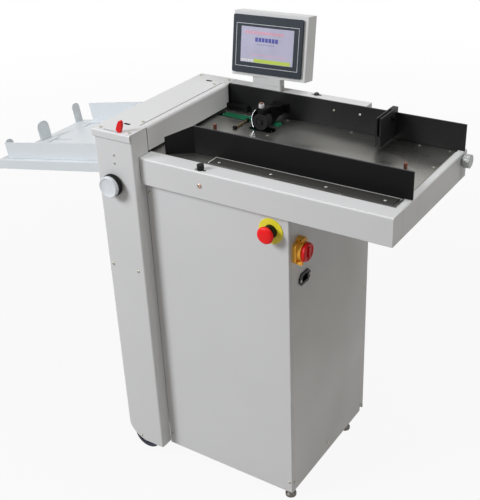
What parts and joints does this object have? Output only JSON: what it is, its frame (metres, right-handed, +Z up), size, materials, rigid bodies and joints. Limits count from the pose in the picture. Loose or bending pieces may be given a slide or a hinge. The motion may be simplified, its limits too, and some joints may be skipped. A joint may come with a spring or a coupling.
{
  "type": "floor-standing paper creasing machine",
  "caption": "Cabinet on wheels and feet with a creasing tower, fenced feed table, friction feeder, tilting cover, swivel operator panel and sloping delivery tray.",
  "frame": {"origin": "middle of the footprint box at floor level", "axes": "+X towards the feed table's free end (the operator's right), +Y to the back, +Z up; sheets travel towards -X"},
  "size_m": [1.1646, 0.4998, 1.1053],
  "materials": {
    "panel_paint": "light grey powder coat, fine texture",
    "tray_paint": "pale blue-grey powder coat, smooth",
    "fence_black": "black anodised look, satin",
    "plate_steel": "brushed stainless, dark reflections",
    "frame_steel": "zinc-plated sheet, dull",
    "bright_steel": "ground steel shafts",
    "roller_rubber": "black rubber, matte",
    "belt_green": "green rubber belt, matte",
    "black_plastic": "moulded black plastic",
    "knob_white": "white plastic, slightly glossy",
    "red_plastic": "red plastic, glossy",
    "yellow_plastic": "yellow plastic, satin",
    "orange_plastic": "orange-yellow plastic, satin",
    "bezel_slate": "dark slate plastic with a display",
    "brass": "turned brass",
    "screw_nickel": "nickel-plated screws",
    "wheel_grey": "dark grey wheel, satin"
  },
  "bodies": {
    "frame": {"base_pan": "frame_steel", "corner_posts": "frame_steel", "front_panel": "panel_paint", "right_panel": "panel_paint", "back_panel": "panel_paint", "tower_front_cover": "panel_paint", "tower_left_panel": "panel_paint", "tower_top_cover": "panel_paint", "front_rail": "panel_paint", "right_rail": "panel_paint", "table_pan": "frame_steel", "table_plate": "plate_steel", "rear_duct": "panel_paint", "back_fence": "fence_black", "panel_post": "panel_paint", "side_plates": "frame_steel", "crease_blade": "bright_steel", "estop_collar": "black_plastic", "estop_legend": "yellow_plastic", "switch_box": "orange_plastic", "power_inlet": "black_plastic", "feed_belt": "belt_green", "separator_arm": "fence_black", "drive_motors": "black_plastic", "control_box": "frame_steel", "timing_belts": "roller_rubber", "delivery_tray": "tray_paint", "cover_screws": "screw_nickel", "shaft_bearings": "bright_steel"},
    "hinged_cover": {"hinged_cover": "panel_paint"},
    "main_shaft": {"main_shaft": "bright_steel", "hand_knob": "knob_white"},
    "die_beam": {"die_beam": "bright_steel"},
    "infeed_lower": {"infeed_lower_roller": "roller_rubber"},
    "infeed_upper": {"infeed_upper_roller": "roller_rubber"},
    "outfeed_lower": {"outfeed_lower_roller": "roller_rubber"},
    "outfeed_upper": {"outfeed_upper_roller": "roller_rubber"},
    "release_lever": {"release_lever": "red_plastic"},
    "estop_button": {"estop_button": "red_plastic"},
    "switch_flap": {"switch_flap": "red_plastic"},
    "front_fence": {"front_fence": "fence_black", "fence_foot": "fence_black"},
    "front_lock_knob": {"front_lock_knob": "black_plastic"},
    "rear_lock_knob": {"rear_lock_knob": "screw_nickel"},
    "back_stop": {"back_stop": "fence_black"},
    "back_stop_knob": {"back_stop_knob": "brass"},
    "side_lay_knob": {"side_lay_knob": "screw_nickel"},
    "feed_wheel": {"feed_wheel": "roller_rubber"},
    "separator_knob": {"separator_knob": "knob_white"},
    "belt_drive": {"belt_drive_shaft": "bright_steel"},
    "belt_idler": {"belt_idler_shaft": "bright_steel"},
    "operator_panel": {"panel_housing": "panel_paint", "panel_bezel": "bezel_slate"},
    "tray_front_guide": {"tray_front_guide": "tray_paint"},
    "tray_back_guide": {"tray_back_guide": "tray_paint"},
    "tray_end_stop": {"tray_end_stop": "tray_paint"},
    "front_wheel": {"front_wheel": "wheel_grey"},
    "rear_wheel": {"rear_wheel": "wheel_grey"},
    "front_foot": {"front_foot": "bright_steel"},
    "rear_foot": {"rear_foot": "bright_steel"}
  },
  "joints": [
    {"name": "cover_hinge", "type": "hinge", "parent": "frame", "child": "hinged_cover", "pos_m": [-0.07869, -0.00302, 0.921], "axis": [0, -1, 0], "range_deg": [0, 100]},
    {"name": "main_shaft_turn", "type": "hinge", "parent": "frame", "child": "main_shaft", "pos_m": [-0.12569, -0.03802, 0.793], "axis": [0, 1, 0], "continuous": true},
    {"name": "die_slide", "type": "slide", "parent": "frame", "child": "die_beam", "axis": [0, 0, 1], "range_m": [-0.002, 0.002]},
    {"name": "infeed_lower_turn", "type": "hinge", "parent": "frame", "child": "infeed_lower", "pos_m": [-0.08769, -0.00302, 0.8483], "axis": [0, 1, 0], "continuous": true},
    {"name": "infeed_upper_turn", "type": "hinge", "parent": "frame", "child": "infeed_upper", "pos_m": [-0.08769, -0.00302, 0.8726], "axis": [0, -1, 0], "continuous": true},
    {"name": "outfeed_lower_turn", "type": "hinge", "parent": "frame", "child": "outfeed_lower", "pos_m": [-0.15369, -0.00302, 0.8483], "axis": [0, 1, 0], "continuous": true},
    {"name": "outfeed_upper_turn", "type": "hinge", "parent": "frame", "child": "outfeed_upper", "pos_m": [-0.15369, -0.00302, 0.8726], "axis": [0, -1, 0], "continuous": true},
    {"name": "release_lever_tilt", "type": "hinge", "parent": "frame", "child": "release_lever", "pos_m": [-0.11869, -0.22052, 0.868], "axis": [0, -1, 0], "range_deg": [0, 32]},
    {"name": "estop_press", "type": "slide", "parent": "frame", "child": "estop_button", "axis": [0, 1, 0], "range_m": [0, 0.005], "stiffness_N_per_m": 400},
    {"name": "switch_flap_hinge", "type": "hinge", "parent": "frame", "child": "switch_flap", "pos_m": [0.33731, -0.15002, 0.683], "axis": [0, 1, 0], "range_deg": [0, 100]},
    {"name": "fence_slide", "type": "slide", "parent": "frame", "child": "front_fence", "axis": [0, 1, 0], "range_m": [-0.005, 0.11]},
    {"name": "front_lock_knob_turn", "type": "hinge", "parent": "frame", "child": "front_lock_knob", "pos_m": [0.10031, -0.19202, 0.863], "axis": [0, 0, 1], "continuous": true},
    {"name": "rear_lock_knob_turn", "type": "hinge", "parent": "frame", "child": "rear_lock_knob", "pos_m": [0.17431, 0.19398, 0.924], "axis": [0, 0, 1], "continuous": true},
    {"name": "stop_slide", "type": "slide", "parent": "frame", "child": "back_stop", "axis": [1, 0, 0], "range_m": [-0.05, 0.12]},
    {"name": "back_stop_knob_turn", "type": "hinge", "parent": "back_stop", "child": "back_stop_knob", "pos_m": [0.39531, 0.14438, 0.92], "axis": [1, 0, 0], "continuous": true},
    {"name": "side_lay_knob_turn", "type": "hinge", "parent": "frame", "child": "side_lay_knob", "pos_m": [0.56631, 0.15698, 0.846], "axis": [1, 0, 0], "continuous": true},
    {"name": "feed_wheel_turn", "type": "hinge", "parent": "frame", "child": "feed_wheel", "pos_m": [0.08931, 0.08198, 0.881], "axis": [0, 1, 0], "continuous": true},
    {"name": "separator_knob_turn", "type": "hinge", "parent": "frame", "child": "separator_knob", "pos_m": [0.08731, 0.08198, 0.92], "axis": [0, 0, 1], "continuous": true},
    {"name": "belt_drive_turn", "type": "hinge", "parent": "frame", "child": "belt_drive", "pos_m": [-0.04769, 0.12438, 0.8492], "axis": [0, 1, 0], "continuous": true},
    {"name": "belt_idler_turn", "type": "hinge", "parent": "frame", "child": "belt_idler", "pos_m": [0.10231, 0.12438, 0.8492], "axis": [0, 1, 0], "continuous": true},
    {"name": "panel_swivel", "type": "hinge", "parent": "frame", "child": "operator_panel", "pos_m": [0.04631, 0.18148, 0.934], "axis": [0, 0, 1], "range_deg": [-35, 35]},
    {"name": "tray_front_guide_slide", "type": "slide", "parent": "frame", "child": "tray_front_guide", "axis": [0, 1, 0], "range_m": [-0.01, 0.08]},
    {"name": "tray_back_guide_slide", "type": "slide", "parent": "frame", "child": "tray_back_guide", "axis": [0, 1, 0], "range_m": [-0.08, 0.004]},
    {"name": "tray_end_stop_slide", "type": "slide", "parent": "frame", "child": "tray_end_stop", "axis": [-0.9839, 0, -0.1788], "range_m": [-0.08, 0.02]},
    {"name": "front_wheel_turn", "type": "hinge", "parent": "frame", "child": "front_wheel", "pos_m": [-0.12169, -0.20552, 0.04], "axis": [0, 1, 0], "continuous": true},
    {"name": "rear_wheel_turn", "type": "hinge", "parent": "frame", "child": "rear_wheel", "pos_m": [-0.12169, 0.18548, 0.04], "axis": [0, 1, 0], "continuous": true},
    {"name": "front_foot_turn", "type": "hinge", "parent": "frame", "child": "front_foot", "pos_m": [0.30431, -0.17202, 0.012], "axis": [0, 0, 1], "continuous": true},
    {"name": "rear_foot_turn", "type": "hinge", "parent": "frame", "child": "rear_foot", "pos_m": [0.30431, 0.12398, 0.012], "axis": [0, 0, 1], "continuous": true}
  ],
  "couplings": [
    {"joint": "infeed_upper_turn", "follows": "infeed_lower_turn", "ratio": 1},
    {"joint": "outfeed_lower_turn", "follows": "infeed_lower_turn", "ratio": 1},
    {"joint": "outfeed_upper_turn", "follows": "infeed_lower_turn", "ratio": 1},
    {"joint": "belt_idler_turn", "follows": "belt_drive_turn", "ratio": 1}
  ]
}
